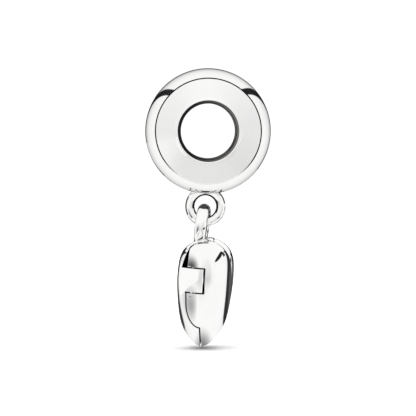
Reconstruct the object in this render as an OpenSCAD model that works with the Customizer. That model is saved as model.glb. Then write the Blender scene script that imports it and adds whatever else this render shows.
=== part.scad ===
// Dangle charm: a round bead with a soldered ring, and a puffed heart locket that hangs from it.
// Millimetres. Origin at the centre of the bead's bore, bore along Y, +Z up.
// The locket is drawn in its own frame: x out of its front, y across it, z up from its tip.

/* [Bead] */
// Radius of the bore that a bracelet passes through
bore_r = 2.25; // [1.8:0.05:2.4]
// Outer radius of the bead
bead_r = 5.15; // [4.9:0.05:5.6]
// Radius of the edge between each face and the rounded rim
crease_r = 4.37; // [4.1:0.01:4.5]
// Radius of the outer edge of the bore's rounded lip
lip_r = 2.56; // [2.5:0.01:2.9]
// Distance between the two lips, along the bore
bead_w = 4.4; // [3.8:0.1:5]
// Distance between the two creases, along the bore
crease_w = 3.7; // [3:0.1:3.8]

/* [Ring under the bead] */
// Radius of the ring, to the middle of its wire
ring_r = 1.27; // [1.2:0.01:1.4]
// Radius of the ring's wire
ring_wire_r = 0.38; // [0.3:0.01:0.4]
// Sideways place of the ring's centre
ring_x = -0.22; // [-0.4:0.01:0.4]
// Height of the ring's centre
ring_z = -6.18; // [-6.3:0.01:-6.1]

/* [Locket] */
// Height of the heart, from its tip to the top of its lobes
heart_h = 8.97; // [8.6:0.01:9.2]
// Radius of each lobe, seen from the front
lobe_r = 2.65; // [2.5:0.01:2.8]
// Distance of each lobe's centre from the middle
lobe_y = 2.6; // [2.4:0.01:2.7]
// Radius of the bowed sides that run down to the tip
side_r = 13; // [11:0.5:18]
// Half of the heart's thickness
half_t = 2.16; // [2:0.01:2.3]
// Thickness of the locket's walls
wall = 0.55; // [0.45:0.01:0.7]
// How far behind the widest line the two halves part
part_x = -1.15; // [-1.3:0.01:-1]
// Gap between the two halves
seam = 0.08; // [0.06:0.01:0.12]
// Turn of the locket about its own upright axis
yaw = 6.5; // [0:0.5:10]
// Lean of the locket to the right
lean = 4; // [0:0.5:6]

/* [Locket hinge] */
// Radius of the hinge pin
pin_r = 0.15; // [0.12:0.01:0.18]
// Radial play between the pin and its holes
pin_play = 0.04; // [0.02:0.01:0.06]
// Distance of the pin from the middle of the heart
pin_y = 4; // [3.95:0.01:4.02]
// Place of the pin between back and front
pin_x = -0.65; // [-0.7:0.01:-0.6]
// Radius of the knuckle about the pin
knuckle_r = 0.95; // [0.85:0.01:0.97]
// Height of the knuckle's lower end above the tip
knuckle_z = 4.66; // [4.6:0.01:4.8]
// Length of the knuckle along the pin
knuckle_h = 1.92; // [1.6:0.01:2]
// Gap round the knuckle
knuckle_gap = 0.12; // [0.1:0.01:0.15]
// Length of pin that stands in the front half above the knuckle
pin_end = 0.48; // [0.4:0.01:0.5]
// Length of pin that stands in the front half below the knuckle
pin_low = 0.26; // [0.22:0.01:0.3]

/* [Locket loop] */
// Radius of the loop, to the middle of its wire
loop_r = 1.3; // [1.25:0.01:1.35]
// Radius of the loop's wire
loop_wire_r = 0.5; // [0.45:0.01:0.52]
// Radius of the neck's foot
neck_r = 0.62; // [0.55:0.01:0.65]
// Height of the loop's centre above the tip
loop_z = 9.97; // [9.9:0.01:10]
// Place of the loop's centre between back and front
loop_x = -0.58; // [-0.7:0.01:-0.5]
// Lean of the loop away from the heart's own axis
loop_lean = 3.4; // [2:0.1:5]

/* [Hidden] */
silver = "#d9dadb";
bright_silver = "#eceded";
cut = 20;
lobe_steps = 13;
side_steps = 9;
dome_levels = 9;
hollow_levels = 6;

// Rounded rim of the bead: an arc through the two creases and the widest line
rim_rise = bead_r - crease_r;
rim_r = (rim_rise * rim_rise + crease_w * crease_w / 4) / (2 * rim_rise);
lip_round = lip_r - bore_r;
lip_overlap = 0.01;

// Heart outline: a lobe arc and a side arc that touch, on each side of the middle
lobe_z = heart_h - lobe_r;
lobe_away = norm([lobe_y, lobe_z]);
side_turn = acos((side_r * side_r + lobe_away * lobe_away - pow(side_r - lobe_r, 2))
    / (2 * side_r * lobe_away));
side_dir = atan2(lobe_z, lobe_y) + side_turn;
side_centre = side_r * [cos(side_dir), sin(side_dir)];
join_dir = atan2(lobe_z - side_centre[1], lobe_y - side_centre[0]);
tip_dir = side_dir - 180;
cleft_dir = acos(-lobe_y / lobe_r);

// The dome rises from the outline to its crown, with sharper shoulders at the lobes
crown_z = 5.2;
tip_power = 3;
lobe_power = 4.6;
shoulder_power = 0.7;

// Where the halves part: upright at part_x, and bowed forwards at the tip and at the lobes
thumb_z = 3.6;
thumb_drop = 1.92;
crest_x = 0.3;
crest_z = 8;
crest_rise = 0.72;
seam_steps = 10;

// Bridge in the cleft that carries the loop, and the notch that clears it
bridge_half = 0.9;
bridge_front = 0.05;
bridge_z = 5.9;
bridge_gap = 0.15;

// Hinge
pin_z = knuckle_z - knuckle_gap - pin_low;
pin_l = knuckle_h + 2 * knuckle_gap + pin_low + pin_end;
ear_r = 0.45;
ear_cap = 0.12;
sweep_r = 0.97;
sweep_top_r = 0.55;
sweep_low_r = 0.56;
sweep_below = 1.2;
sweep_above = 1.7;
web_y = 3.4;
face_low_r = 1.05;
face_r = 1.4;
face_bend = 1.1;
face_play = 0.05;

// Place of the locket's tip in the charm, and of the loop over it
tip_x = -0.6;
tip_z = -17.73;
locket_y = loop_x * sin(yaw);

function arc_point(c, r, a) = c + r * [cos(a), sin(a)];

function right_side() = concat(
    [for (i = [0 : side_steps - 1])
        arc_point(side_centre, side_r, tip_dir + (join_dir - tip_dir) * i / side_steps)],
    [for (i = [0 : lobe_steps])
        arc_point([lobe_y, lobe_z], lobe_r, join_dir + (cleft_dir - join_dir) * i / lobe_steps)]);

function outline() = let (side = right_side(), last = len(side) - 1)
    concat(side, [for (i = [last - 1 : -1 : 1]) [-side[i][0], side[i][1]]]);

function dome_point(edge, inset, level, face) =
    let (arm = edge - [0, crown_z],
         reach = norm(arm),
         power = tip_power + (lobe_power - tip_power) * (1 + arm[1] / reach) / 2,
         share = cos(level),
         flat = arm * (1 - inset / reach) * share)
    [face * (half_t - inset) * pow(max(0, 1 - pow(share, power)), shoulder_power),
     flat[0], crown_z + flat[1]];

// Puffed heart: rings of the outline drawn in towards the crown, in front and behind
module heart(inset, levels) {
    edge = outline();
    n = len(edge);
    front = [for (k = [0 : levels - 1]) for (p = edge) dome_point(p, inset, 90 * k / levels, 1)];
    back = [for (k = [1 : levels - 1]) for (p = edge) dome_point(p, inset, 90 * k / levels, -1)];
    crowns = [[half_t - inset, 0, crown_z], [inset - half_t, 0, crown_z]];
    points = concat(front, back, crowns);
    front_crown = len(points) - 2;
    back_crown = len(points) - 1;
    front_faces = [for (k = [0 : levels - 2]) for (i = [0 : n - 1])
        let (j = (i + 1) % n, a = k * n, b = a + n)
        each [[a + i, b + i, b + j], [a + i, b + j, a + j]]];
    back_faces = [for (k = [0 : levels - 2]) for (i = [0 : n - 1])
        let (j = (i + 1) % n, a = k == 0 ? 0 : (levels + k - 1) * n, b = (levels + k) * n)
        each [[a + i, b + j, b + i], [a + i, a + j, b + j]]];
    front_cap = [for (i = [0 : n - 1]) let (j = (i + 1) % n, a = (levels - 1) * n)
        [a + i, front_crown, a + j]];
    back_cap = [for (i = [0 : n - 1]) let (j = (i + 1) % n, a = (2 * levels - 2) * n)
        [a + i, a + j, back_crown]];
    polyhedron(points, concat(front_faces, back_faces, front_cap, back_cap));
}

// Line between the halves, drawn side inwards by the gap
function seam_line(gap) = concat(
    [[gap, -cut], [gap, thumb_z - thumb_drop + gap]],
    [for (i = [0 : seam_steps]) let (a = 270 - 90 * i / seam_steps)
        [(-part_x - gap) * cos(a), thumb_z + (thumb_drop - gap) * sin(a)]],
    [for (i = [0 : seam_steps]) let (a = 180 - 90 * i / seam_steps)
        [crest_x + (crest_x - part_x - gap) * cos(a), crest_z + (crest_rise - gap) * sin(a)]],
    [[crest_x + gap, crest_z + crest_rise - gap], [crest_x + gap, cut]]);

module beside_seam(gap, side) {
    rotate([90, 0, 0])
        linear_extrude(height = cut, center = true)
            polygon(concat(seam_line(gap), [[side * cut, cut], [side * cut, -cut]]));
}

module about_pin(z, h, r, top_r = undef) {
    translate([pin_x, -pin_y, z])
        cylinder(r1 = r, r2 = is_undef(top_r) ? r : top_r, h = h, $fn = 48);
}

module bridge(gap) {
    translate([-cut, -bridge_half - gap, bridge_z - gap])
        cube([cut + bridge_front + gap, 2 * (bridge_half + gap), cut]);
}

// Round about the pin that follows the heart's surface, narrower below
module face_round(gap, play) {
    about_pin(knuckle_z - gap, face_bend + gap, face_low_r + play, face_r + play);
    about_pin(knuckle_z + face_bend, knuckle_h + gap - face_bend, face_r + play);
}

// Knuckle's space, as wide as the slot that shows round it
module knuckle_block(gap) {
    face_round(gap, face_play);
    translate([part_x - wall, -pin_y - cut, knuckle_z - gap])
        cube([pin_x - part_x + wall + knuckle_r + gap, cut + knuckle_r + gap, knuckle_h + 2 * gap]);
}

// Outer face of the knuckle: nearly flush with the heart, and clear of the slot as the locket opens
module knuckle_face() {
    intersection() {
        face_round(0, 0);
        translate([pin_x, -pin_y - cut, knuckle_z])
            cube([knuckle_r, cut, knuckle_h]);
    }
}

module loop() {
    rotate([0, loop_lean, 0])
        rotate([0, 90, 0])
            rotate_extrude($fn = 64)
                translate([loop_r, 0])
                    circle(r = loop_wire_r, $fn = 32);
}

module neck() {
    rotate([0, loop_lean, 0])
        translate([0, 0, -loop_z + bridge_z])
            cylinder(r1 = neck_r, r2 = loop_wire_r, h = loop_z - bridge_z - loop_r, $fn = 32);
}

module in_place() {
    translate([tip_x, locket_y, tip_z])
        rotate([0, lean, 0])
            rotate([0, 0, -yaw])
                children();
}

module bead() {
    color(silver) {
        rotate([90, 0, 0])
            rotate_extrude($fn = 128)
                difference() {
                    union() {
                        intersection() {
                            translate([bead_r - rim_r, 0])
                                circle(r = rim_r, $fn = 128);
                            translate([lip_r, -crease_w / 2])
                                square([cut, crease_w]);
                        }
                        polygon([[lip_r, -bead_w / 2], [crease_r, -crease_w / 2],
                            [crease_r, crease_w / 2], [lip_r, bead_w / 2]]);
                        translate([bore_r, lip_round - bead_w / 2])
                            square([lip_round + lip_overlap, bead_w - 2 * lip_round]);
                        for (end = [-1, 1])
                            translate([lip_r, end * (bead_w / 2 - lip_round)])
                                circle(r = lip_round, $fn = 48);
                    }
                    translate([0, -cut / 2])
                        square([bore_r, cut]);
                }
        difference() {
            translate([ring_x, 0, ring_z])
                rotate([90, 0, 0])
                    rotate_extrude($fn = 96)
                        translate([ring_r, 0])
                            circle(r = ring_wire_r, $fn = 48);
            rotate([90, 0, 0])
                cylinder(r = bore_r + lip_round, h = cut, center = true, $fn = 128);
        }
    }
}

module locket_back() {
    color(silver) in_place() {
        difference() {
            union() {
                difference() {
                    intersection() {
                        heart(0, dome_levels);
                        union() {
                            beside_seam(-seam / 2, -1);
                            bridge(0);
                        }
                    }
                    difference() {
                        heart(wall, hollow_levels);
                        bridge(0);
                    }
                    about_pin(knuckle_z - sweep_below, knuckle_h + sweep_below, sweep_low_r);
                    about_pin(knuckle_z + knuckle_h, sweep_above, sweep_r, sweep_top_r);
                }
                intersection() {
                    heart(0, dome_levels);
                    union() {
                        about_pin(knuckle_z, knuckle_h, knuckle_r);
                        knuckle_face();
                        translate([part_x - wall, -pin_y - cut, knuckle_z])
                            cube([pin_x - part_x + wall, cut + pin_y - web_y, knuckle_h]);
                    }
                }
                translate([loop_x, 0, loop_z]) {
                    loop();
                    neck();
                }
            }
            about_pin(pin_z - cut / 2, pin_l + cut, pin_r + pin_play);
        }
    }
}

module locket_front() {
    color(bright_silver) in_place()
        difference() {
            union() {
                difference() {
                    intersection() {
                        heart(0, dome_levels);
                        beside_seam(seam / 2, 1);
                    }
                    heart(wall, hollow_levels);
                }
                intersection() {
                    heart(0, dome_levels);
                    about_pin(pin_z - ear_cap, pin_l + 2 * ear_cap, ear_r);
                }
            }
            knuckle_block(knuckle_gap);
            bridge(bridge_gap);
            about_pin(pin_z, pin_l, pin_r + pin_play);
        }
}

module hinge_pin() {
    color(silver) in_place()
        about_pin(pin_z, pin_l, pin_r);
}

bead();
locket_back();
locket_front();
hinge_pin();
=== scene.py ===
"""Dangle charm: a polished bead with a soldered ring, and a puffed heart locket that hangs from it."""
import math

import bpy
from bpy.props import FloatProperty, FloatVectorProperty, IntProperty, PointerProperty
from mathutils import Matrix, Vector


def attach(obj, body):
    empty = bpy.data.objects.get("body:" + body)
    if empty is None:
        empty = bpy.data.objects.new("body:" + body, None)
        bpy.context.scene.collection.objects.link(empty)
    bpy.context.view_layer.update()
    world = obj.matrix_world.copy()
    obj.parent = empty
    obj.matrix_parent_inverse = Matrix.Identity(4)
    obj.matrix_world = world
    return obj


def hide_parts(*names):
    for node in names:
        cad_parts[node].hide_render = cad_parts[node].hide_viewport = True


bl_info = {
    "name": "Dangle charm",
    "version": (1, 0, 0),
    "blender": (4, 5, 0),
    "location": "3D View > Sidebar > Charm",
    "description": "Finishes a silver bead with a hanging puffed heart locket",
    "category": "Object",
}

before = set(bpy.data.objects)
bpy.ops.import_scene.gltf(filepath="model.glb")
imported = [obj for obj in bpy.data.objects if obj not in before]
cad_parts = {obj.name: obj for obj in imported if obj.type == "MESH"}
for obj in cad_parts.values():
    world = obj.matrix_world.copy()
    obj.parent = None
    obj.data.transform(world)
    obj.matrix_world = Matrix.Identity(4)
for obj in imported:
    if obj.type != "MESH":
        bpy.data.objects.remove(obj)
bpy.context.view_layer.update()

# Metres in a millimetre. The sizes below are in millimetres and the angles in degrees
MM = 0.001

# Bead: a body of revolution about Y, with a crease between each face and the rim, and rounded lips
BORE_R = 2.25
BEAD_R = 5.15
BEAD_W = 4.4
CREASE_R = 4.37
CREASE_W = 3.7
LIP_R = 2.56
# How far short of LIP_R the painted shade of the bore ends
LIP_SHADE = 0.04
# Steps along the profile of each face and of half the rim, and round the bead
FACE_STEPS = 12
RIM_STEPS = 40
BEAD_STEPS = 256

# Ring under the bead: radius to the middle of its wire, radius of the wire, and place
RING_R = 1.27
RING_WIRE_R = 0.38
RING_X = -0.22
RING_Z = -6.18
# Spans beside the solder where shade is painted on the outer edge of the ring, from +X toward +Z
SOLDER_SHADE_SPANS = ((8, 55), (150, 205))
# Steps round the ring and the loop, and round their wire
WIRE_STEPS = (128, 40)

# Heart, drawn with its tip at the origin and +Z up: its width runs along Y and its thickness along X
HEART_H = 8.97
LOBE_R = 2.65
LOBE_Y = 2.6
SIDE_R = 13.0
HALF_T = 2.16
# Height of the two crowns, and how squarely the dome falls from them to the outline: toward the tip, toward
# the lobes, and at its shoulder
CROWN_Z = 5.2
TIP_POWER = 3.0
LOBE_POWER = 4.6
SHOULDER_POWER = 0.7
# Share of each half outline's steps that lies on its long side, before the lobe
SIDE_SHARE = 0.44
# Steps round the outline and from crown to crown, for the outside and for what is hidden
OUTER_STEPS = (256, 128)
INNER_STEPS = (96, 48)

# Locket: its wall, the place and the width of its seam, and how it hangs
WALL = 0.55
PART_X = -1.15
SEAM = 0.08
YAW = 6.5
LEAN = 4.0
TIP_X = -0.6
TIP_Z = -17.73
# Where the seam bows forward: down to the thumb piece at the tip, and up to the crest of the lobes
THUMB_Z = 3.6
THUMB_DROP = 1.92
CREST_X = 0.3
CREST_Z = 8.0
CREST_RISE = 0.72

# Hinge pin, upright in the near lobe at x PIN_X and y -PIN_Y, with the room round it and how far it runs past
# the slot, below and above
PIN_R = 0.15
PIN_PLAY = 0.04
PIN_X = -0.65
PIN_Y = 4.0
PIN_LOW = 0.26
PIN_END = 0.48
# Knuckle of the back half about the pin, and the gap round it in the front half's slot
KNUCKLE_R = 0.95
KNUCKLE_Z = 4.66
KNUCKLE_H = 1.92
KNUCKLE_GAP = 0.12
# Round that the knuckle's face follows: it widens from FACE_LOW_R to FACE_R over the height FACE_BEND
FACE_LOW_R = 1.05
FACE_R = 1.4
FACE_BEND = 1.1
FACE_PLAY = 0.05
# How far the corner of that face reaches back past the pin, and where the web behind the knuckle ends
CORNER_LAP = 0.1
WEB_Y = 3.4
# Rounding of the slot's edges, and the steps of a rounded edge
SLOT_CORNER = 0.1
CORNER_STEPS = 6
# Ears in the front half that hold the ends of the pin: radius, cap over each end, and depth under the surface
EAR_R = 0.45
EAR_CAP = 0.12
EAR_DEPTH = 0.02
# Relief in the back half that lets the front half swing open, and the room that only the finished piece has
SWEEP_R = 0.97
SWEEP_TOP_R = 0.55
SWEEP_LOW_R = 0.56
SWEEP_BELOW = 1.2
SWEEP_ABOVE = 1.7
SWEEP_PLAY = 0.03

# Bridge in the cleft that carries the loop, and the gap round it in the front half
BRIDGE_HALF = 0.9
BRIDGE_FRONT = 0.05
BRIDGE_Z = 5.9
BRIDGE_GAP = 0.15
# Loop: radius to the middle of its wire, radius of the wire and of its foot, place and lean
LOOP_R = 1.3
LOOP_WIRE_R = 0.5
NECK_R = 0.62
LOOP_X = -0.58
LOOP_Z = 9.97
LOOP_LEAN = 3.4

# A length that is past every side of the locket, and a distance under which two points of an outline are one
FAR = 20.0
SAME_POINT = 1e-6
# Steps of a turned round
ROUND_STEPS = 96
# How close points are merged: in every mesh, and after the cuts of the two halves
MERGE = 1e-5
FRONT_MERGE = 4e-4
BACK_MERGE = 1e-4
# A face counts as level when the upright part of its normal is more than this
LEVEL = 0.9

LOCKET_PLACE = (
    Matrix.Translation((TIP_X, LOOP_X * math.sin(math.radians(YAW)), TIP_Z))
    @ Matrix.Rotation(math.radians(LEAN), 4, "Y")
    @ Matrix.Rotation(math.radians(-YAW), 4, "Z")
)

# Depth of the polishing marks, in metres: on most of the silver, on the bead's faces, in seam and crease
MARKS = 0.000002
SATIN_MARKS = 0.0000004
DEEP_MARKS = 0.000004
# Roughness of the finishes with painted shade, and how much rougher the haze makes each finish
SEAM_ROUGH = 0.5
GROOVE_ROUGH = 0.3
WIRE_ROUGH = 0.2
POLISH_HAZE = 0.04
FACE_HAZE = 0.03
ROUGH_HAZE = 0.1
# Stretches over which the painted shade changes colour, in metres: the bore across X, painted lighter toward
# +X, and the crease up Z, painted darker upward
BORE_SHADE_BLEND = ("X", -0.0012, 0.003)
CREASE_SHADE_BLEND = ("Z", -0.0036, -0.0022)

# Brightness of the light tent in reflections, as (degrees, brightness)
# Away from the camera's side: the front card, the side panels and the dim gap behind the charm
DEPTH_TONES = ((0, 1.0), (130, 1.0), (145, 0.9), (153, 0.6), (158, 0.12), (180, 0.04))
# Round the upright axis, from behind the charm by the left, the camera at 0 and the right
SIDE_TONES = ((-180, 1.0), (-60, 0.97), (-24, 0.89), (0, 1.0), (24, 0.88), (60, 0.85), (66, 1.0), (180, 1.0))
# On the camera's side, from straight down to straight up
HEIGHT_TONES = ((-90, 0.9), (-22, 0.76), (0, 0.95), (22, 1.04), (90, 1.0))
# How far the two tones above reach: by height, and by angle from the camera's side
LEVEL_REACH = ((-60, 0.0), (-25, 1.0), (20, 1.0), (50, 0.0))
FRONT_REACH = ((0, 1.0), (50, 1.0), (80, 0.0))
# Straight dark join between each side panel and the top panel: the slope of its plane, its half width, the
# share of that width that is fully dark, and its brightness
JOIN_PLANE = (-0.713, 0.158, 0.683)
JOIN_HALF = 0.085
JOIN_CORE = 0.8
JOIN_TONE = 0.02
# How far to the camera's side each join runs, and how quickly it fades there and at the horizon
JOIN_END_LEFT = -0.03
JOIN_END_RIGHT = -0.15
JOIN_END_FADE = 12
HORIZON_FADE = 1000

# Where the fade of a card starts that is solid all over, and the least width of a fade
SOLID = 1.5
LEAST_FADE = 0.05
# Cards round the charm that only its reflections show: name, middle, half sizes, turn about X and Y,
# brightness, and where the fade to the rim starts, from 0 at the middle to 1 at the rim
CARDS = (
    ("card_top_front", (0, -4.9, -5.75), (4, 4.5), (0, 0), 1.0, SOLID),
    ("card_top_back", (0, 0.85, -5.75), (3, 0.42), (0, 0), 1.0, SOLID),
    ("card_under_bead", (0, -6.35, -5.6), (3.9, 2.95), (0, 0), 0.78, SOLID),
    ("card_right_shelf", (4.9, 6.6, -6.2), (3.2, 7), (0, 0), 1.0, SOLID),
    ("card_left", (-6, -3, -4.2), (3, 8), (0, 90), 1.0, SOLID),
    ("card_mid_left", (-4.4, -4.5, -12.2), (2.0, 5), (0, 90), 1.0, SOLID),
    ("card_high_left", (-5, -5.2, -9.9), (3.9, 5.6), (0, 90), 0.08, 0.0),
    ("card_low_left", (-5, -2.4, -17.2), (4.6, 4.8), (0, 90), 0.42, 0.0),
    # Painted shadow: a dim card under the floor that the tip reflects in place of the floor's shadow under it
    ("card_painted_tip_shadow", (-0.35, -0.1, -17.9), (1.7, 2.4), (0, 0), 0.25, 0.0),
    ("card_left_back", (-5, 6.9, -12.8), (6.2, 4.0), (0, 90), 0.04, 0.85),
    ("card_left_shelf", (-3.9, 5.5, -6.2), (1.95, 6.2), (0, 0), 1.0, SOLID),
    ("card_right", (8, -2, -3), (2.9, 6), (0, 90), 1.0, SOLID),
    ("card_right_join", (3, -3.0, -9.1), (0.38, 2.1), (15, 90), 0.02, 0.85),
    ("card_right_corner", (8, 4.1, -7.1), (0.9, 1.7), (0, 90), 0.03, SOLID),
    ("card_right_back", (8, 11.2, -13.0), (7.6, 5.5), (0, 90), 0.03, 0.88),
)

# Camera: width of its film in millimetres, and the nearest that it sees in metres
FILM_WIDTH = 36
NEAREST = 0.01


def deselect():
    """Leaves nothing selected."""
    if bpy.context.object and bpy.context.object.mode != "OBJECT":
        bpy.ops.object.mode_set(mode="OBJECT")
    bpy.ops.object.select_all(action="DESELECT")


def take(obj):
    """Makes obj the only selected and active object."""
    deselect()
    obj.select_set(True)
    bpy.context.view_layer.objects.active = obj


def silver(name):
    """One of the finishes that the finishes step makes."""
    return bpy.data.materials[name]


def new_mesh(name, verts, faces=(), edges=()):
    """An object of its own mesh."""
    mesh = bpy.data.meshes.new(name)
    mesh.from_pydata(verts, edges, faces)
    obj = bpy.data.objects.new(name, mesh)
    bpy.context.collection.objects.link(obj)
    return obj


def keep_primitive(name, material):
    """Names the primitive just added, moves its place into its mesh and gives it its finish."""
    obj = bpy.context.object
    obj.name = name
    bpy.ops.object.transform_apply(location=True, rotation=True, scale=True)
    obj.data.materials.append(material)
    return obj


def settle(obj, place=Matrix.Identity(4)):
    """Puts a piece drawn in millimetres in its place, in metres, with the object at the origin."""
    obj.data.transform(Matrix.Scale(MM, 4) @ place @ obj.matrix_world)
    obj.matrix_world = Matrix.Identity(4)
    obj.data.update()


def tidy_mesh(obj, merge=MERGE):
    """Merges doubles and turns the faces outwards."""
    take(obj)
    bpy.ops.object.mode_set(mode="EDIT")
    bpy.ops.mesh.select_all(action="SELECT")
    bpy.ops.mesh.remove_doubles(threshold=merge)
    bpy.ops.mesh.normals_make_consistent(inside=False)
    bpy.ops.object.mode_set(mode="OBJECT")


def smooth(obj, degrees=32):
    """Smooth shading that keeps real edges."""
    take(obj)
    bpy.ops.object.shade_smooth_by_angle(angle=math.radians(degrees))


def apply_modifier(obj, kind, **values):
    """Adds a modifier, sets it and applies it."""
    take(obj)
    modifier = obj.modifiers.new(kind.title(), kind)
    for key, value in values.items():
        setattr(modifier, key, value)
    bpy.ops.object.modifier_apply(modifier=modifier.name)


def combine(obj, other, operation):
    """Applies a boolean with another object, which is then deleted. Cut faces take the other's material."""
    apply_modifier(
        obj, "BOOLEAN", object=other, operation=operation, solver="EXACT", material_mode="TRANSFER")
    bpy.data.objects.remove(other, do_unlink=True)


def refinish(obj, name, chosen):
    """Gives the faces of a piece for which chosen is true another finish."""
    obj.data.materials.append(silver(name))
    for polygon in obj.data.polygons:
        if chosen(polygon):
            polygon.material_index = len(obj.data.materials) - 1


def mix(a, b, share):
    """A value share of the way from a to b."""
    return a + (b - a) * share


def arc(middle, radii, start, end, steps=24):
    """Points of an elliptic arc, in degrees."""
    angles = [math.radians(mix(start, end, i / steps)) for i in range(steps + 1)]
    return [(middle[0] + radii[0] * math.cos(a), middle[1] + radii[1] * math.sin(a)) for a in angles]


def extruded(name, outline, depth, material):
    """A block whose outline is drawn in the locket's side view, as deep as depth on both sides."""
    obj = new_mesh(name, [(x, -depth, z) for x, z in outline], [list(range(len(outline)))])
    obj.data.materials.append(material)
    take(obj)
    bpy.ops.object.mode_set(mode="EDIT")
    bpy.ops.mesh.select_all(action="SELECT")
    bpy.ops.mesh.extrude_region_move(TRANSFORM_OT_translate={"value": (0, 2 * depth, 0)})
    bpy.ops.mesh.select_all(action="SELECT")
    bpy.ops.mesh.normals_make_consistent(inside=False)
    bpy.ops.object.mode_set(mode="OBJECT")
    return obj


def spin_profile(name, profile, steps, material):
    """A ring body: profile points (radius, along) spun about the Y axis."""
    verts = [(radius, along, 0) for radius, along in profile]
    edges = [(i, (i + 1) % len(profile)) for i in range(len(profile))]
    obj = new_mesh(name, verts, edges=edges)
    obj.data.materials.append(material)
    take(obj)
    bpy.ops.object.mode_set(mode="EDIT")
    bpy.ops.mesh.select_all(action="SELECT")
    bpy.ops.mesh.spin(steps=steps, angle=2 * math.pi, center=(0, 0, 0), axis=(0, 1, 0))
    bpy.ops.object.mode_set(mode="OBJECT")
    tidy_mesh(obj)
    return obj


def block(name, low, high, material, corner=0.0):
    """A box between two corners, with its edges rounded by corner."""
    deselect()
    middle = [(a + b) / 2 for a, b in zip(low, high)]
    bpy.ops.mesh.primitive_cube_add(size=1, location=middle)
    bpy.context.object.scale = [b - a for a, b in zip(low, high)]
    obj = keep_primitive(name, material)
    if corner:
        bpy.ops.object.mode_set(mode="EDIT")
        bpy.ops.mesh.select_all(action="SELECT")
        bpy.ops.mesh.bevel(offset=corner, segments=CORNER_STEPS)
        bpy.ops.object.mode_set(mode="OBJECT")
    return obj


def cone(name, low_r, top_r, height, middle, material):
    """An upright cone, or a cylinder where its two radii are the same."""
    deselect()
    bpy.ops.mesh.primitive_cone_add(
        vertices=ROUND_STEPS, radius1=low_r, radius2=top_r, depth=height, location=middle)
    return keep_primitive(name, material)


def about_pin(name, z, height, radius, material, top_radius=None):
    """A cylinder about the hinge pin's axis, or a cone with its own top radius."""
    top_r = radius if top_radius is None else top_radius
    return cone(name, radius, top_r, height, (PIN_X, -PIN_Y, z + height / 2), material)


def wire_ring(name, radius, wire_r, middle, turn, material):
    """A ring of round wire, turned from lying flat."""
    deselect()
    bpy.ops.mesh.primitive_torus_add(
        major_radius=radius, minor_radius=wire_r, major_segments=WIRE_STEPS[0],
        minor_segments=WIRE_STEPS[1], location=middle, rotation=turn)
    return keep_primitive(name, material)


def heart_edge(turn):
    """Point of the heart's outline. turn runs from 0 at the tip, up the +Y side to 0.5 in the cleft, to 1."""
    side = 1 if turn <= 0.5 else -1
    along = 2 * turn if turn <= 0.5 else 2 * (1 - turn)
    lobe_z = HEART_H - LOBE_R
    away = math.hypot(LOBE_Y, lobe_z)
    opening = math.acos((SIDE_R**2 + away**2 - (SIDE_R - LOBE_R) ** 2) / (2 * SIDE_R * away))
    heading = math.atan2(lobe_z, LOBE_Y) + opening
    centre = (SIDE_R * math.cos(heading), SIDE_R * math.sin(heading))
    join = math.atan2(lobe_z - centre[1], LOBE_Y - centre[0])
    tip, cleft = heading - math.pi, math.acos(-LOBE_Y / LOBE_R)
    if along < SIDE_SHARE:
        angle, radius = mix(tip, join, along / SIDE_SHARE), SIDE_R
    else:
        angle, radius = mix(join, cleft, (along - SIDE_SHARE) / (1 - SIDE_SHARE)), LOBE_R
        centre = (LOBE_Y, lobe_z)
    return side * (centre[0] + radius * math.cos(angle)), centre[1] + radius * math.sin(angle)


def dome_point(turn, share, face, inset):
    """Point of the heart's dome, share of the way from the crown to the outline, in front or behind."""
    y, z = heart_edge(turn)
    arm = Vector((y, z - CROWN_Z))
    reach = arm.length
    power = mix(TIP_POWER, LOBE_POWER, (1 + arm.y / reach) / 2)
    flat = arm * (1 - inset / reach) * share
    rise = (HALF_T - inset) * max(0.0, 1 - share**power) ** SHOULDER_POWER
    return face * rise, flat.x, CROWN_Z + flat.y


def heart(name, inset, steps, material):
    """A puffed heart shaped from a ball, whose poles become the two crowns."""
    deselect()
    around, crown_to_crown = steps
    bpy.ops.mesh.primitive_uv_sphere_add(segments=around, ring_count=crown_to_crown, radius=1)
    obj = bpy.context.object
    obj.name = name
    for vertex in obj.data.vertices:
        x, y, z = vertex.co
        turn = math.atan2(y, x) / (2 * math.pi) % 1
        turn = round(turn * around) % around / around
        vertex.co = dome_point(turn, min(1.0, math.hypot(x, y)), 1 if z > 0 else -1, inset)
    obj.data.materials.append(material)
    tidy_mesh(obj)
    return obj


def seam_outline(gap, side):
    """The locket's part in front of its seam (side 1) or behind it (side -1), in the side view."""
    low = [(gap, -FAR), (gap, THUMB_Z - THUMB_DROP + gap)]
    thumb = arc((0, THUMB_Z), (-PART_X - gap, THUMB_DROP - gap), 270, 180)
    crest = arc((CREST_X, CREST_Z), (CREST_X - PART_X - gap, CREST_RISE - gap), 180, 90)
    crest_end = (CREST_X + gap, CREST_Z + CREST_RISE - gap)
    around = [(CREST_X + gap, FAR), (side * FAR, FAR), (side * FAR, -FAR)]
    points = []
    for point in low + thumb + crest + [crest_end] + around:
        if not points or math.dist(point, points[-1]) > SAME_POINT:
            points.append(point)
    return points


def face_round(gap, play, material):
    """A round about the hinge pin that follows the heart's surface, narrower below."""
    obj = about_pin("round", KNUCKLE_Z - gap, FACE_BEND + gap, FACE_LOW_R + play, material, FACE_R + play)
    top = about_pin("top", KNUCKLE_Z + FACE_BEND, KNUCKLE_H + gap - FACE_BEND, FACE_R + play, material)
    combine(obj, top, "UNION")
    return obj


def slot(material):
    """The knuckle's slot in the front half, undercut about the pin."""
    reach = KNUCKLE_R + KNUCKLE_GAP
    low = (PART_X - WALL, -PIN_Y - FAR, KNUCKLE_Z - KNUCKLE_GAP)
    high = (PIN_X + reach, -PIN_Y + reach, KNUCKLE_Z + KNUCKLE_H + KNUCKLE_GAP)
    obj = block("slot", low, high, material, SLOT_CORNER)
    combine(obj, face_round(KNUCKLE_GAP, FACE_PLAY, material), "UNION")
    return obj


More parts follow.
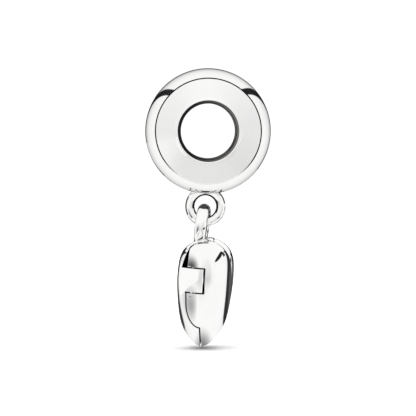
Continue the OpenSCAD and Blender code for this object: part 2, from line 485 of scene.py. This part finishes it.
def bridge(material):
    """The bridge in the cleft, long enough to meet the back shell."""
    return block(
        "bridge", (-FAR / 2, -BRIDGE_HALF, BRIDGE_Z), (BRIDGE_FRONT, BRIDGE_HALF, FAR / 2), material)


def cleft_notch(material):
    """The room for the bridge in the front half."""
    low = (-FAR, -BRIDGE_HALF - BRIDGE_GAP, BRIDGE_Z - BRIDGE_GAP)
    high = (BRIDGE_FRONT + BRIDGE_GAP, BRIDGE_HALF + BRIDGE_GAP, FAR)
    return block("cleft_notch", low, high, material)


def knuckle(polished):
    """The hinge knuckle, with a face that follows the heart and a web to the back shell."""
    obj = heart("knuckle", 0, OUTER_STEPS, polished)
    core = about_pin("core", KNUCKLE_Z, KNUCKLE_H, KNUCKLE_R, polished)
    web = block(
        "web", (PART_X - WALL, -PIN_Y - FAR, KNUCKLE_Z), (PIN_X, -WEB_Y, KNUCKLE_Z + KNUCKLE_H), polished)
    face = face_round(0, 0, polished)
    corner = block(
        "corner", (PIN_X - CORNER_LAP, -PIN_Y - FAR, 0), (PIN_X + KNUCKLE_R, -PIN_Y, FAR), polished)
    combine(face, corner, "INTERSECT")
    combine(core, web, "UNION")
    combine(core, face, "UNION")
    combine(obj, core, "INTERSECT")
    # The knuckle's top and bottom, in the gaps of its slot, get painted shade
    refinish(obj, "seam_painted_shade", lambda part: abs(part.normal.z) > LEVEL)
    return obj


def finish_half(obj, node, body, merge):
    """Puts half of the locket in its place, for its solid and on its body."""
    tidy_mesh(obj, merge)
    settle(obj, LOCKET_PLACE)
    smooth(obj, degrees=30)
    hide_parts(node)
    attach(obj, body)


def off_axis(face):
    """Distance of a face of the bead from the axis of its bore."""
    return math.hypot(face.center.x, face.center.z)


def painted_shade_on_ring(face, turn):
    """Whether a face gets painted shade: on the inside of the ring, or on its outer edge beside the solder.
    """
    x, z = face.center.x - RING_X, face.center.z - RING_Z
    reach, heading = math.hypot(x, z), math.degrees(math.atan2(z, x)) % 360
    beside = any(start < heading < end for start, end in SOLDER_SHADE_SPANS)
    edge = RING_WIRE_R * math.cos(turn)
    return reach < RING_R - edge or (beside and reach > RING_R + edge)


def shade_and_reflection_on_loop(face, turn, cap):
    """Whether a face gets painted shade on the inside of the loop, or a painted dark reflection on its top.
    """
    y, z = face.center.y, face.center.z
    inside = LOOP_R - LOOP_WIRE_R * math.cos(turn)
    return z > LOOP_R + LOOP_WIRE_R - cap or (math.hypot(y, z) < inside and z > -LOOP_R)


def shader_group(name, inputs, outputs):
    """A shader node group with float inputs and named outputs, and its two end nodes."""
    group = bpy.data.node_groups.new(name, "ShaderNodeTree")
    for label, value in inputs:
        socket = group.interface.new_socket(label, in_out="INPUT", socket_type="NodeSocketFloat")
        socket.default_value = value
    for label in outputs:
        group.interface.new_socket(label, in_out="OUTPUT", socket_type="NodeSocketFloat")
    return group, group.nodes.new("NodeGroupInput"), group.nodes.new("NodeGroupOutput")


def hairlines_group():
    """Fine polishing marks: long thin noise in two crossing directions, as a height."""
    group, start, end = shader_group("Hairlines", [("Scale", 2200.0), ("Stretch", 0.06)], ["Height"])
    nodes, links = group.nodes, group.links
    coords = nodes.new("ShaderNodeTexCoord")
    total = nodes.new("ShaderNodeMath")
    total.operation = "ADD"
    for index, turn in enumerate((25, -50)):
        mapping = nodes.new("ShaderNodeMapping")
        mapping.inputs["Rotation"].default_value = (0, math.radians(turn), math.radians(turn))
        squeeze = nodes.new("ShaderNodeCombineXYZ")
        squeeze.inputs["X"].default_value = 1
        squeeze.inputs["Y"].default_value = 1
        links.new(start.outputs["Stretch"], squeeze.inputs["Z"])
        links.new(squeeze.outputs["Vector"], mapping.inputs["Scale"])
        links.new(coords.outputs["Object"], mapping.inputs["Vector"])
        noise = nodes.new("ShaderNodeTexNoise")
        noise.inputs["Detail"].default_value = 2
        links.new(start.outputs["Scale"], noise.inputs["Scale"])
        links.new(mapping.outputs["Vector"], noise.inputs["Vector"])
        links.new(noise.outputs["Fac"], total.inputs[index])
    links.new(total.outputs["Value"], end.inputs["Height"])


def haze_group():
    """Soft cloudy patches where handling has dulled the polish, from 0 to 1."""
    group, start, end = shader_group("Haze", [("Scale", 350.0), ("Low", 0.4), ("High", 0.7)], ["Mask"])
    nodes, links = group.nodes, group.links
    coords = nodes.new("ShaderNodeTexCoord")
    noise = nodes.new("ShaderNodeTexNoise")
    noise.inputs["Detail"].default_value = 4
    spread = nodes.new("ShaderNodeMapRange")
    links.new(coords.outputs["Object"], noise.inputs["Vector"])
    links.new(start.outputs["Scale"], noise.inputs["Scale"])
    links.new(noise.outputs["Fac"], spread.inputs["Value"])
    links.new(start.outputs["Low"], spread.inputs["From Min"])
    links.new(start.outputs["High"], spread.inputs["From Max"])
    links.new(spread.outputs["Result"], end.inputs["Mask"])


def colour_blend(tree, clean, dull, share):
    """A colour between clean and dull, by a share that changes over the surface."""
    colour = tree.nodes.new("ShaderNodeMix")
    colour.data_type = "RGBA"
    colour.inputs["A"].default_value = (*clean, 1)
    colour.inputs["B"].default_value = (*dull, 1)
    tree.links.new(share, colour.inputs["Factor"])
    return colour.outputs["Result"]


def place_between(tree, axis, start, end):
    """How far a point of the piece lies along an axis, 0 at start and 1 at end."""
    place = tree.nodes.new("ShaderNodeSeparateXYZ")
    spread = tree.nodes.new("ShaderNodeMapRange")
    spread.inputs["From Min"].default_value = start
    spread.inputs["From Max"].default_value = end
    tree.links.new(tree.nodes.new("ShaderNodeTexCoord").outputs["Object"], place.inputs["Vector"])
    tree.links.new(place.outputs[axis], spread.inputs["Value"])
    return spread.outputs["Result"]


def metal(name, clean, dull, roughness, haze, marks=MARKS, edge=1.0, across=None):
    """Silver of a clean and a dull colour, mixed by the haze, which also adds haze to its roughness.

    marks is the depth of its polishing marks and edge its tone where it is seen edge-on. With across, as
    (axis, clean end, dull end), its colour changes along an axis and not with the haze.
    """
    material = bpy.data.materials.new(name)
    material.use_nodes = True
    tree = material.node_tree
    nodes, links = tree.nodes, tree.links
    shader = nodes["Principled BSDF"]
    shader.inputs["Metallic"].default_value = 1
    shader.inputs["Specular Tint"].default_value = (edge, edge, edge, 1)
    patches = nodes.new("ShaderNodeGroup")
    patches.node_tree = bpy.data.node_groups["Haze"]
    if clean == dull:
        shader.inputs["Base Color"].default_value = (*clean, 1)
    else:
        share = place_between(tree, *across) if across else patches.outputs["Mask"]
        links.new(colour_blend(tree, clean, dull, share), shader.inputs["Base Color"])
    gloss = nodes.new("ShaderNodeMapRange")
    gloss.inputs["To Min"].default_value = roughness
    gloss.inputs["To Max"].default_value = roughness + haze
    links.new(patches.outputs["Mask"], gloss.inputs["Value"])
    links.new(gloss.outputs["Result"], shader.inputs["Roughness"])
    hairlines = nodes.new("ShaderNodeGroup")
    hairlines.node_tree = bpy.data.node_groups["Hairlines"]
    bump = nodes.new("ShaderNodeBump")
    bump.inputs["Strength"].default_value = 0.2
    bump.inputs["Distance"].default_value = marks
    links.new(hairlines.outputs["Height"], bump.inputs["Height"])
    links.new(bump.outputs["Normal"], shader.inputs["Normal"])


def math_node(tree, operation, *values):
    """A math node fed by sockets or numbers."""
    node = tree.nodes.new("ShaderNodeMath")
    node.operation = operation
    for index, value in enumerate(values):
        if isinstance(value, (int, float)):
            node.inputs[index].default_value = value
        else:
            tree.links.new(value, node.inputs[index])
    return node.outputs[0]


def tone_curve(tree, angle, low, high, stops):
    """Brightness along an angle: stops are (angle, brightness) in degrees, spread from low to high."""
    place = math_node(tree, "SUBTRACT", angle, math.radians(low))
    place = math_node(tree, "DIVIDE", place, math.radians(high - low))
    ramp = tree.nodes.new("ShaderNodeValToRGB")
    elements = ramp.color_ramp.elements
    while len(elements) > 1:
        elements.remove(elements[-1])
    for index, (degrees, tone) in enumerate(stops):
        element = elements[0] if index == 0 else elements.new(1)
        element.position = (degrees - low) / (high - low)
        element.color = (tone, tone, tone, 1)
    tree.links.new(place, ramp.inputs["Fac"])
    return ramp.outputs["Color"]


def panel_tone(tree, x, y, z):
    """Brightness of the tent's soft panels in the direction of a reflection."""
    toward = math_node(tree, "MULTIPLY", y, -1)
    swing = math_node(tree, "ARCTAN2", x, toward)
    lift = math_node(tree, "ARCSINE", z)
    away = math_node(tree, "ARCCOSINE", toward)
    tone = tone_curve(tree, away, 0, 180, DEPTH_TONES)
    level = tone_curve(tree, lift, -90, 90, LEVEL_REACH)
    front = tone_curve(tree, away, 0, 180, FRONT_REACH)
    for reach, curve in (
        (level, tone_curve(tree, swing, -180, 180, SIDE_TONES)),
        (front, tone_curve(tree, lift, -90, 90, HEIGHT_TONES)),
    ):
        loss = math_node(tree, "MULTIPLY", reach, math_node(tree, "SUBTRACT", 1, curve))
        tone = math_node(tree, "MULTIPLY", tone, math_node(tree, "SUBTRACT", 1, loss))
    return tone


def join_tone(tree, x, y, z):
    """Brightness left by the dark joins between the panels, 1 away from them."""
    off_plane = math_node(tree, "MULTIPLY", math_node(tree, "ABSOLUTE", x), JOIN_PLANE[0])
    off_plane = math_node(tree, "MULTIPLY_ADD", y, JOIN_PLANE[1], off_plane)
    off_plane = math_node(tree, "ABSOLUTE", math_node(tree, "MULTIPLY_ADD", z, JOIN_PLANE[2], off_plane))
    beside = math_node(tree, "SUBTRACT", math_node(tree, "DIVIDE", off_plane, JOIN_HALF), JOIN_CORE)
    below = math_node(tree, "MULTIPLY", z, -HORIZON_FADE)
    on_right = math_node(tree, "GREATER_THAN", x, 0)
    end = math_node(tree, "MULTIPLY_ADD", on_right, JOIN_END_RIGHT - JOIN_END_LEFT, JOIN_END_LEFT)
    past_end = math_node(tree, "MULTIPLY", math_node(tree, "SUBTRACT", end, y), JOIN_END_FADE)
    clear = math_node(tree, "MAXIMUM", math_node(tree, "MAXIMUM", beside, below), past_end)
    clear = math_node(tree, "DIVIDE", clear, 1 - JOIN_CORE)
    return math_node(tree, "MINIMUM", math_node(tree, "MAXIMUM", clear, JOIN_TONE), 1)


def studio_world(studio):
    """A white light tent: plain white to the camera, with soft panels and dark joins in reflections."""
    world = bpy.data.worlds.new("studio")
    world.use_nodes = True
    tree = world.node_tree
    background = tree.nodes["Background"]
    ray = tree.nodes.new("ShaderNodeSeparateXYZ")
    tree.links.new(tree.nodes.new("ShaderNodeTexCoord").outputs["Generated"], ray.inputs[0])
    x, y, z = ray.outputs[:3]
    reflected = math_node(tree, "MULTIPLY", panel_tone(tree, x, y, z), join_tone(tree, x, y, z))
    path = tree.nodes.new("ShaderNodeLightPath")
    unseen = tree.nodes.new("ShaderNodeMix")
    unseen.inputs["A"].default_value = studio.fill
    tree.links.new(path.outputs["Is Glossy Ray"], unseen.inputs["Factor"])
    tree.links.new(reflected, unseen.inputs["B"])
    strength = tree.nodes.new("ShaderNodeMix")
    strength.inputs["B"].default_value = studio.backdrop
    tree.links.new(path.outputs["Is Camera Ray"], strength.inputs["Factor"])
    tree.links.new(unseen.outputs["Result"], strength.inputs["A"])
    background.inputs["Color"].default_value = (1, 1, 1, 1)
    tree.links.new(strength.outputs["Result"], background.inputs["Strength"])
    return world


def card_glow(name, tone, fade_start):
    """A glow that is solid out to fade_start and fades from there to the card's rim."""
    material = bpy.data.materials.new(name)
    material.use_nodes = True
    nodes, links = material.node_tree.nodes, material.node_tree.links
    nodes.clear()
    output = nodes.new("ShaderNodeOutputMaterial")
    glow = nodes.new("ShaderNodeEmission")
    glow.inputs["Color"].default_value = (tone, tone, tone, 1)
    clear = nodes.new("ShaderNodeBsdfTransparent")
    blend = nodes.new("ShaderNodeMixShader")
    spread = nodes.new("ShaderNodeVectorMath")
    spread.operation = "LENGTH"
    fade = nodes.new("ShaderNodeMapRange")
    fade.interpolation_type = "SMOOTHSTEP"
    fade.inputs["From Min"].default_value = fade_start
    fade.inputs["From Max"].default_value = max(1, fade_start + LEAST_FADE)
    fade.inputs["To Min"].default_value = 1
    fade.inputs["To Max"].default_value = 0
    links.new(nodes.new("ShaderNodeTexCoord").outputs["Object"], spread.inputs[0])
    links.new(spread.outputs["Value"], fade.inputs["Value"])
    links.new(fade.outputs["Result"], blend.inputs[0])
    links.new(clear.outputs["BSDF"], blend.inputs[1])
    links.new(glow.outputs["Emission"], blend.inputs[2])
    links.new(blend.outputs["Shader"], output.inputs["Surface"])
    return material


def reflector(name, middle, half, turn, tone, fade_start):
    """A glowing card that only reflections show."""
    deselect()
    place = [value * MM for value in middle]
    bpy.ops.mesh.primitive_plane_add(size=2, location=place, rotation=(0, math.radians(turn[1]), 0))
    bpy.ops.transform.rotate(value=-math.radians(turn[0]), orient_axis="X", center_override=place)
    card = bpy.context.object
    card.name = name
    card.scale = (half[0] * MM, half[1] * MM, 1)
    card.data.materials.append(card_glow(name, tone, fade_start))
    card.visible_camera = False
    card.visible_diffuse = False
    card.visible_shadow = False
    card.visible_transmission = False


def set_camera(studio):
    """Puts the camera in front of the charm, a little to its left and above."""
    middle = Vector((0, 0, studio.look_z))
    to_left, forward = math.sin(studio.to_left), math.cos(studio.to_left)
    place = Vector((-studio.distance * to_left, -studio.distance * forward, studio.above))
    data = bpy.data.cameras.new("camera")
    camera = bpy.data.objects.new("camera", data)
    bpy.context.collection.objects.link(camera)
    camera.location = place
    camera.rotation_euler = (middle - place).to_track_quat("-Z", "Y").to_euler()
    data.sensor_width = FILM_WIDTH
    data.lens = FILM_WIDTH * (middle - place).length / studio.across
    data.clip_start = NEAREST
    bpy.context.scene.camera = camera


def set_light(studio):
    """Lights the floor softly from above."""
    deselect()
    bpy.ops.object.light_add(type="SUN")
    light = bpy.context.object
    light.name = "overhead"
    light.data.angle = studio.overhead_spread
    light.data.energy = studio.overhead
    light.visible_glossy = False
    light.visible_camera = False


def set_floor(studio):
    """Lays the pale floor just under the locket's tip."""
    deselect()
    height = TIP_Z * MM - studio.floor_drop
    bpy.ops.mesh.primitive_plane_add(size=studio.floor_size, location=(0, 0, height))
    floor = bpy.context.object
    floor.name = "floor"
    pale = bpy.data.materials.new("floor_white")
    pale.use_nodes = True
    shader = pale.node_tree.nodes["Principled BSDF"]
    shader.inputs["Base Color"].default_value = (*studio.floor_colour, 1)
    shader.inputs["Roughness"].default_value = 0.9
    floor.data.materials.append(pale)
    floor.visible_glossy = False


class CharmSizes(bpy.types.PropertyGroup):
    """Sizes that the finish adds to the solids."""

    lip_segments: IntProperty(
        name="Lip segments", description="Steps round the bead's rounded lips", default=24, min=6)
    lip_turn: FloatProperty(
        name="Lip turn", description="Angle at which each rounded lip meets the face",
        default=math.radians(58), subtype="ANGLE")
    crease_depth: FloatProperty(
        name="Crease depth", description="Depth of the fine groove between face and rim",
        default=0.00005, unit="LENGTH")
    crease_width: FloatProperty(
        name="Crease width", description="Width of that groove", default=0.0001, unit="LENGTH")
    seam_edge: FloatProperty(
        name="Seam edge", description="How far each half's seam edge is eased back",
        default=0.00002, unit="LENGTH")
    # How far the painted shade reaches round the inside of ring and loop
    wire_turn: FloatProperty(
        name="Wire turn", description="How far the darkening reaches round the inside of ring and loop",
        default=math.radians(48), subtype="ANGLE")
    # Length of the painted dark reflection on the loop's top
    loop_reflection_cap: FloatProperty(
        name="Loop cap", description="Length of the worn dark top of the loop", default=0.0004, unit="LENGTH")


class CharmFinish(bpy.types.PropertyGroup):
    """Colours and gloss of the silver."""

    clean: FloatVectorProperty(
        name="Clean silver", description="Colour of the polished metal",
        default=(0.965, 0.96, 0.955), subtype="COLOR")
    dull: FloatVectorProperty(
        name="Dull silver", description="Colour where handling has hazed it",
        default=(0.93, 0.93, 0.925), subtype="COLOR")
    inside: FloatVectorProperty(
        name="Inside silver", description="Colour of the haze inside the locket",
        default=(0.75, 0.75, 0.74), subtype="COLOR")
    # Painted shade: the near black of the seams, slots and gaps, the bore and the crease
    dark: FloatVectorProperty(
        name="Darkened silver", description="Colour of the metal down in the seams",
        default=(0.02, 0.02, 0.02), subtype="COLOR")
    # Painted light: the bore's right side is painted lighter than its shaded left
    bore: FloatVectorProperty(
        name="Bore silver", description="Colour of the lighter right side of the bore",
        default=(0.22, 0.21, 0.2), subtype="COLOR")
    # Painted shade inside ring and loop, and a painted dark reflection on the loop's top
    wire: FloatVectorProperty(
        name="Darkened wire", description="Colour of the inside of ring and loop",
        default=(0.03, 0.03, 0.03), subtype="COLOR")
    # Haze on that painted shade and reflection
    wire_shade_haze: FloatVectorProperty(
        name="Worn wire", description="Colour of the haze on the darkened wire",
        default=(0.06, 0.06, 0.06), subtype="COLOR")
    polish: FloatProperty(
        name="Polish", description="Roughness of the polished metal", default=0.05, min=0, max=1)
    satin: FloatProperty(
        name="Satin", description="Roughness of the bead's faces, the locket's inside and the pin",
        default=0.28, min=0, max=1)
    edge: FloatProperty(
        name="Edge tone", description="Tone of the bead, ring and loop seen edge-on",
        default=0.5, min=0, max=1)


class CharmStudio(bpy.types.PropertyGroup):
    """Camera, floor and light."""

    distance: FloatProperty(
        name="Distance", description="Camera to the charm", default=0.3, unit="LENGTH")
    across: FloatProperty(
        name="Across", description="Width of the view at the charm", default=0.03415, unit="LENGTH")
    to_left: FloatProperty(
        name="To the left", description="Angle of the camera to the bore",
        default=math.radians(1.1), subtype="ANGLE")
    above: FloatProperty(
        name="Above", description="Height of the camera over the bore", default=0.0026, unit="LENGTH")
    look_z: FloatProperty(
        name="Look at", description="Height that the camera looks at", default=-0.00632, unit="LENGTH")
    fill: FloatProperty(
        name="Fill", description="Strength of the tent's light on the floor", default=0.02, min=0)
    backdrop: FloatProperty(
        name="Backdrop", description="Brightness behind the charm", default=1.05, min=0)
    overhead: FloatProperty(
        name="Overhead", description="Strength of the soft light from above", default=5.0, min=0)
    overhead_spread: FloatProperty(
        name="Overhead spread", description="Apparent width of that light",
        default=math.radians(70), subtype="ANGLE")
    floor_size: FloatProperty(
        name="Floor size", description="Side of the square floor", default=0.6, unit="LENGTH")
    floor_drop: FloatProperty(
        name="Floor drop", description="Gap between the locket's tip and the floor",
        default=0.0001, unit="LENGTH")
    floor_colour: FloatVectorProperty(
        name="Floor colour", description="Colour of the floor", default=(0.95, 0.95, 0.95), subtype="COLOR")


class CHARM_OT_finishes(bpy.types.Operator):
    """Mix the silver finishes"""

    bl_idname = "charm.finishes"
    bl_label = "Finishes"

    def execute(self, context):
        finish = context.scene.charm_finish
        clean, dull, dark = tuple(finish.clean), tuple(finish.dull), tuple(finish.dark)
        inside, bore = tuple(finish.inside), tuple(finish.bore)
        wire, wire_shade_haze = tuple(finish.wire), tuple(finish.wire_shade_haze)
        hairlines_group()
        haze_group()
        metal("bead_polish", clean, dull, finish.polish, POLISH_HAZE, edge=finish.edge)
        metal("bead_face", clean, dull, finish.satin, FACE_HAZE, SATIN_MARKS)
        metal("locket_polish", clean, dull, finish.polish, POLISH_HAZE)
        metal("locket_inside", dull, inside, finish.satin, ROUGH_HAZE)
        metal("wire_polish", clean, dull, finish.polish, POLISH_HAZE, edge=finish.edge)
        # Painted shade in the bore, painted lighter toward its right side
        metal("bore_painted_shade", dark, bore, GROOVE_ROUGH, ROUGH_HAZE, across=BORE_SHADE_BLEND)
        metal("pin_wire", dull, dull, finish.satin, ROUGH_HAZE)
        # Painted shade inside ring and loop, and a painted dark reflection on the loop's top
        metal("wire_shade_and_reflection", wire, wire_shade_haze, WIRE_ROUGH, ROUGH_HAZE)
        # Painted shade in the crease, dark over the top and fading to clean silver toward the bottom
        metal("crease_painted_shade", clean, dark, GROOVE_ROUGH, ROUGH_HAZE, DEEP_MARKS, across=CREASE_SHADE_BLEND)
        # Painted shade on the walls of the seam, the slots, the gaps and the pin's bore
        metal("seam_painted_shade", dark, dark, SEAM_ROUGH, ROUGH_HAZE, DEEP_MARKS)
        return {"FINISHED"}


class CHARM_OT_stage(bpy.types.Operator):
    """Set the camera, the pale floor and the soft studio light"""

    bl_idname = "charm.stage"
    bl_label = "Stage"

    def execute(self, context):
        studio = context.scene.charm_studio
        set_camera(studio)
        context.scene.world = studio_world(studio)
        context.scene.view_settings.view_transform = "Standard"
        set_light(studio)
        set_floor(studio)
        for card in CARDS:
            reflector(*card)
        return {"FINISHED"}


class CHARM_OT_bead(bpy.types.Operator):
    """Spin the bead with its rounded lips, creased faces and barrel rim"""

    bl_idname = "charm.bead"
    bl_label = "Bead"

    def execute(self, context):
        sizes = context.scene.charm_sizes
        lip, half_w, half_crease = LIP_R - BORE_R, BEAD_W / 2, CREASE_W / 2
        rise = BEAD_R - CREASE_R
        rim_r = (rise**2 + half_crease**2) / (2 * rise)
        sweep = math.degrees(math.atan2(half_crease, CREASE_R - (BEAD_R - rim_r)))
        groove, depth = sizes.crease_width / MM, sizes.crease_depth / MM
        lip_degrees = math.degrees(sizes.lip_turn)
        front = arc((LIP_R, half_w - lip), (lip, lip), 180, lip_degrees, sizes.lip_segments)
        face_start, face_end = front[-1], (CREASE_R - groove, half_crease)
        face = [
            (mix(face_start[0], face_end[0], i / FACE_STEPS), mix(face_start[1], face_end[1], i / FACE_STEPS))
            for i in range(1, FACE_STEPS + 1)
        ]
        dip = [(CREASE_R - groove / 2, half_crease - depth)]
        rim = arc((BEAD_R - rim_r, 0), (rim_r, rim_r), sweep, 0, RIM_STEPS)
        half = front + face + dip + rim
        profile = half + [(radius, -along) for radius, along in reversed(half[:-1])]
        bead = spin_profile("bead_body", profile, BEAD_STEPS, silver("bead_polish"))
        refinish(bead, "bead_face", lambda part: face_start[0] < off_axis(part) < face_end[0])
        # The bore and the inside of each lip get painted shade
        refinish(bead, "bore_painted_shade", lambda part: off_axis(part) < LIP_R - LIP_SHADE)
        # The groove of each crease gets painted shade
        refinish(bead, "crease_painted_shade", lambda part: (
            face_end[0] < off_axis(part) < CREASE_R and abs(part.center.y) < half_crease))
        settle(bead)
        smooth(bead, degrees=24)
        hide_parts("bead")
        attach(bead, "root")
        return {"FINISHED"}


class CHARM_OT_ring(bpy.types.Operator):
    """Make the small ring under the bead, with its solder at the rim"""

    bl_idname = "charm.ring"
    bl_label = "Ring"

    def execute(self, context):
        turn = context.scene.charm_sizes.wire_turn
        ring = wire_ring(
            "bead_ring", RING_R, RING_WIRE_R, (RING_X, 0, RING_Z), (math.pi / 2, 0, 0), silver("wire_polish"))
        # Painted shade inside the ring and on its outer edge beside the solder
        refinish(ring, "wire_shade_and_reflection", lambda part: painted_shade_on_ring(part, turn))
        settle(ring)
        smooth(ring)
        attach(ring, "root")
        return {"FINISHED"}


class CHARM_OT_locket_front(bpy.types.Operator):
    """Make the thick front half of the locket, hollow, with the knuckle's slot and the pin's ears"""

    bl_idname = "charm.locket_front"
    bl_label = "Locket front"

    def execute(self, context):
        # The seam, the ears, the slot, the notch and the pin's bore get painted shade from their cutters
        dark = silver("seam_painted_shade")
        eased = context.scene.charm_sizes.seam_edge / MM
        pin_z = KNUCKLE_Z - KNUCKLE_GAP - PIN_LOW
        pin_length = KNUCKLE_H + 2 * KNUCKLE_GAP + PIN_LOW + PIN_END
        front = heart("locket_front_shell", 0, OUTER_STEPS, silver("locket_polish"))
        combine(front, extruded("seam", seam_outline(SEAM / 2 + eased, 1), FAR, dark), "INTERSECT")
        combine(front, heart("hollow", WALL, INNER_STEPS, silver("locket_inside")), "DIFFERENCE")
        ears = heart("ears", EAR_DEPTH, INNER_STEPS, dark)
        columns = about_pin("columns", pin_z - EAR_CAP, pin_length + 2 * EAR_CAP, EAR_R, dark)
        combine(ears, columns, "INTERSECT")
        combine(front, ears, "UNION")
        combine(front, slot(dark), "DIFFERENCE")
        combine(front, cleft_notch(dark), "DIFFERENCE")
        bore = about_pin("bore", pin_z - PIN_PLAY, pin_length + 2 * PIN_PLAY, PIN_R + PIN_PLAY, dark)
        combine(front, bore, "DIFFERENCE")
        finish_half(front, "locket_front", "locket_lid", FRONT_MERGE)
        return {"FINISHED"}


class CHARM_OT_locket_back(bpy.types.Operator):
    """Make the shallow rear half of the locket, with its knuckle, thumb piece and the bridge in the cleft"""

    bl_idname = "charm.locket_back"
    bl_label = "Locket back"

    def execute(self, context):
        # The seam, the bridge, the relief and the pin's bore get painted shade from their cutters
        polished, dark = silver("locket_polish"), silver("seam_painted_shade")
        eased = context.scene.charm_sizes.seam_edge / MM
        back = heart("locket_back_shell", 0, OUTER_STEPS, polished)
        behind = extruded("seam", seam_outline(-SEAM / 2 - eased, -1), FAR, dark)
        combine(behind, bridge(dark), "UNION")
        combine(back, behind, "INTERSECT")
        hollow = heart("hollow", WALL, INNER_STEPS, silver("locket_inside"))
        combine(hollow, bridge(dark), "DIFFERENCE")
        combine(back, hollow, "DIFFERENCE")
        low_r, wide_r, top_r = SWEEP_LOW_R + SWEEP_PLAY, SWEEP_R + SWEEP_PLAY, SWEEP_TOP_R + SWEEP_PLAY
        relief = about_pin("relief", KNUCKLE_Z - SWEEP_BELOW, KNUCKLE_H + SWEEP_BELOW, low_r, dark)
        combine(back, relief, "DIFFERENCE")
        relief = about_pin("relief", KNUCKLE_Z + KNUCKLE_H, SWEEP_ABOVE, wide_r, dark, top_r)
        combine(back, relief, "DIFFERENCE")
        combine(back, knuckle(polished), "UNION")
        combine(back, about_pin("bore", 0, FAR, PIN_R + PIN_PLAY, dark), "DIFFERENCE")
        finish_half(back, "locket_back", "locket", BACK_MERGE)
        return {"FINISHED"}


class CHARM_OT_locket_loop(bpy.types.Operator):
    """Make the loop that hangs in the bead's ring, with its widening foot"""

    bl_idname = "charm.locket_loop"
    bl_label = "Locket loop"

    def execute(self, context):
        sizes = context.scene.charm_sizes
        turn, cap = sizes.wire_turn, sizes.loop_reflection_cap / MM
        polished = silver("wire_polish")
        loop = wire_ring("locket_loop", LOOP_R, LOOP_WIRE_R, (0, 0, 0), (0, math.pi / 2, 0), polished)
        height = LOOP_Z - BRIDGE_Z - LOOP_R
        foot = (0, 0, height / 2 - LOOP_Z + BRIDGE_Z)
        combine(loop, cone("neck", NECK_R, LOOP_WIRE_R, height, foot, polished), "UNION")
        # Painted shade inside the loop, and a painted dark reflection on its top
        refinish(loop, "wire_shade_and_reflection", lambda part: shade_and_reflection_on_loop(part, turn, cap))
        lean = Matrix.Translation((LOOP_X, 0, LOOP_Z)) @ Matrix.Rotation(math.radians(LOOP_LEAN), 4, "Y")
        settle(loop, LOCKET_PLACE @ lean)
        smooth(loop)
        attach(loop, "locket")
        return {"FINISHED"}


class CHARM_OT_pin(bpy.types.Operator):
    """Give the hinge pin its plain drawn silver"""

    bl_idname = "charm.pin"
    bl_label = "Hinge pin"

    def execute(self, context):
        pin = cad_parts["hinge_pin"]
        pin.data.materials.clear()
        pin.data.materials.append(silver("pin_wire"))
        return {"FINISHED"}


STEPS = ("finishes", "stage", "bead", "ring", "locket_front", "locket_back", "locket_loop", "pin")


class CHARM_PT_panel(bpy.types.Panel):
    """Lists the charm's sizes, finishes and steps"""

    bl_label = "Dangle charm"
    bl_idname = "CHARM_PT_panel"
    bl_space_type = "VIEW_3D"
    bl_region_type = "UI"
    bl_category = "Charm"

    def draw(self, context):
        scene = context.scene
        for group in (scene.charm_sizes, scene.charm_finish, scene.charm_studio):
            for key in group.bl_rna.properties.keys():
                if key not in ("rna_type", "name"):
                    self.layout.prop(group, key)
        for step in STEPS:
            self.layout.operator("charm." + step)


CLASSES = (
    CharmSizes,
    CharmFinish,
    CharmStudio,
    CHARM_OT_finishes,
    CHARM_OT_stage,
    CHARM_OT_bead,
    CHARM_OT_ring,
    CHARM_OT_locket_front,
    CHARM_OT_locket_back,
    CHARM_OT_locket_loop,
    CHARM_OT_pin,
    CHARM_PT_panel,
)


def register():
    """Adds the classes and the scene's charm settings."""
    for item in CLASSES:
        bpy.utils.register_class(item)
    bpy.types.Scene.charm_sizes = PointerProperty(type=CharmSizes)
    bpy.types.Scene.charm_finish = PointerProperty(type=CharmFinish)
    bpy.types.Scene.charm_studio = PointerProperty(type=CharmStudio)


def unregister():
    """Takes the settings and the classes away again."""
    del bpy.types.Scene.charm_studio
    del bpy.types.Scene.charm_finish
    del bpy.types.Scene.charm_sizes
    for item in reversed(CLASSES):
        bpy.utils.unregister_class(item)


def main():
    """Makes the whole charm on its stage."""
    register()
    for step in STEPS:
        getattr(bpy.ops.charm, step)()
    deselect()


if __name__ == "__main__":
    main()
